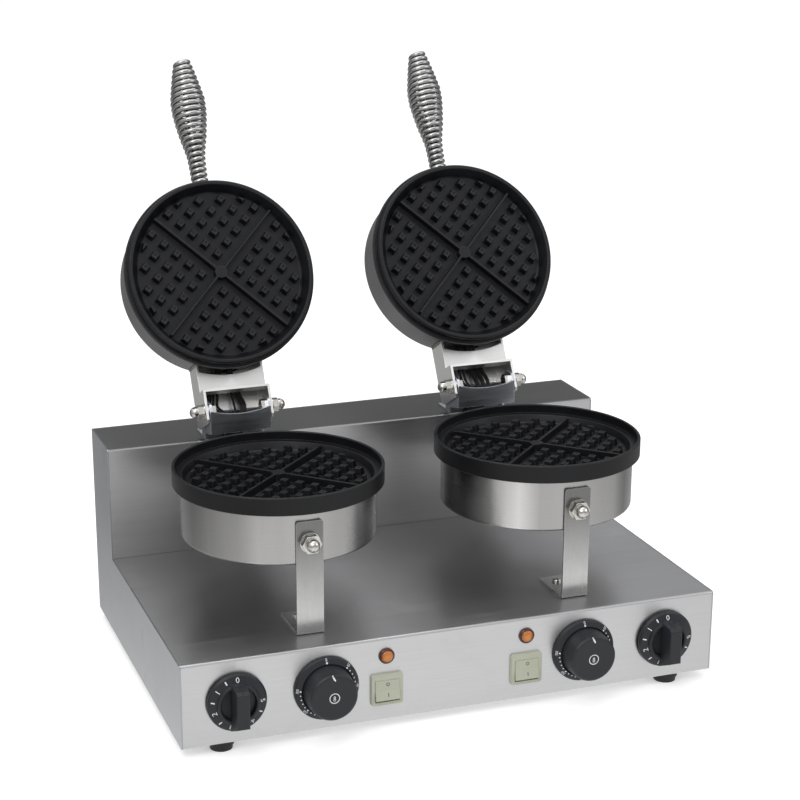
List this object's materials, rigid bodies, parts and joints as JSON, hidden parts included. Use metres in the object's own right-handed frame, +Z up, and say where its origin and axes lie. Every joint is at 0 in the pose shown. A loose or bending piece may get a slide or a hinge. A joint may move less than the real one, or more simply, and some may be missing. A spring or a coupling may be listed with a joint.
{
  "type": "twin round waffle baker",
  "caption": "Countertop waffle baker: two round studded plate pairs with hinged lids and coil handles on a steel casing with timers, thermostats and switches.",
  "frame": {"origin": "centre of the underside of the casing, on the middle panel of its bottom plate; the feet reach 10 mm below it", "axes": "+X to the right seen from the front, +Y to the back, +Z up; rest pose has both lids open at their stops"},
  "size_m": [0.55, 0.5093, 0.5899],
  "materials": {
    "casing_steel": "brushed lengthwise",
    "drum_steel": "brushed around",
    "bracket_steel": "fine satin",
    "plate_black": "matt non-stick coating",
    "fastener_bright": "bright nickel plate",
    "handle_wire": "bright zinc-plated wire",
    "knob_black": "satin moulded",
    "switch_cream": "moulded",
    "lamp_amber": "clear moulded lens",
    "lamp_body": "moulded",
    "foot_rubber": "moulded",
    "cable_rubber": "extruded sheath",
    "heater_alloy": "heat-stained",
    "component_plastic": "moulded",
    "inner_steel": "mill finish"
  },
  "bodies": {
    "chassis": {"deck_front_panel": "casing_steel", "tower_cover": "casing_steel", "side_panel_left": "casing_steel", "side_panel_right": "casing_steel", "rear_panel": "casing_steel", "bottom_plate": "casing_steel", "rubber_feet": "foot_rubber", "foot_screws": "fastener_bright", "casing_screws": "fastener_bright", "front_bracket_left": "bracket_steel", "front_bracket_right": "bracket_steel", "rear_brackets": "bracket_steel", "lower_drum_left": "drum_steel", "lower_drum_right": "drum_steel", "lower_plate_left": "plate_black", "lower_plate_right": "plate_black", "lower_heaters": "heater_alloy", "lower_heater_clamps": "inner_steel", "drum_bolts": "fastener_bright", "drum_washers": "fastener_bright", "drum_acorn_nuts": "fastener_bright", "bracket_foot_screws": "fastener_bright", "hinge_bracket_left": "bracket_steel", "hinge_bracket_right": "bracket_steel", "hinge_bolts": "fastener_bright", "hinge_washers": "fastener_bright", "hinge_acorn_nuts": "fastener_bright", "hinge_bracket_screws": "fastener_bright", "timers": "inner_steel", "thermostats": "inner_steel", "thermostat_dials": "knob_black", "pilot_lamp_bezels": "lamp_body", "pilot_lamp_lenses": "lamp_amber", "switch_housings": "switch_cream", "terminal_block": "component_plastic", "cord_gland": "cable_rubber", "power_cord": "cable_rubber", "power_plug": "cable_rubber", "lead_grommets": "cable_rubber", "heater_leads": "cable_rubber"},
    "lid_left": {"upper_plate_left": "plate_black", "lid_shell_left": "drum_steel", "upper_heater_left": "heater_alloy", "upper_heater_clamp_left": "inner_steel", "lid_bracket_left": "bracket_steel", "handle_rod_left": "fastener_bright", "handle_coil_left": "handle_wire"},
    "timer_left": {"timer_knob_left": "knob_black"},
    "thermostat_left": {"thermostat_knob_left": "knob_black"},
    "rocker_left": {"switch_rocker_left": "switch_cream"},
    "lid_right": {"upper_plate_right": "plate_black", "lid_shell_right": "drum_steel", "upper_heater_right": "heater_alloy", "upper_heater_clamp_right": "inner_steel", "lid_bracket_right": "bracket_steel", "handle_rod_right": "fastener_bright", "handle_coil_right": "handle_wire"},
    "timer_right": {"timer_knob_right": "knob_black"},
    "thermostat_right": {"thermostat_knob_right": "knob_black"},
    "rocker_right": {"switch_rocker_right": "switch_cream"}
  },
  "joints": [
    {"name": "lid_hinge_left", "type": "hinge", "parent": "chassis", "child": "lid_left", "pos_m": [-0.1377, 0.0906, 0.2407], "axis": [1, 0, 0], "range_deg": [0, 118.1]},
    {"name": "timer_turn_left", "type": "hinge", "parent": "chassis", "child": "timer_left", "pos_m": [-0.2215, -0.19, 0.043], "axis": [0, 1, 0], "range_deg": [0, 270]},
    {"name": "thermostat_turn_left", "type": "hinge", "parent": "chassis", "child": "thermostat_left", "pos_m": [-0.133, -0.19, 0.043], "axis": [0, 1, 0], "range_deg": [0, 270]},
    {"name": "rocker_tilt_left", "type": "hinge", "parent": "chassis", "child": "rocker_left", "pos_m": [-0.0723, -0.1785, 0.03125], "axis": [1, 0, 0], "range_deg": [0, 16]},
    {"name": "lid_hinge_right", "type": "hinge", "parent": "chassis", "child": "lid_right", "pos_m": [0.1377, 0.0906, 0.2407], "axis": [1, 0, 0], "range_deg": [0, 119.7]},
    {"name": "timer_turn_right", "type": "hinge", "parent": "chassis", "child": "timer_right", "pos_m": [0.2215, -0.19, 0.043], "axis": [0, 1, 0], "range_deg": [0, 270]},
    {"name": "thermostat_turn_right", "type": "hinge", "parent": "chassis", "child": "thermostat_right", "pos_m": [0.133, -0.19, 0.043], "axis": [0, 1, 0], "range_deg": [0, 270]},
    {"name": "rocker_tilt_right", "type": "hinge", "parent": "chassis", "child": "rocker_right", "pos_m": [0.0723, -0.1785, 0.03125], "axis": [1, 0, 0], "range_deg": [0, 16]}
  ]
}
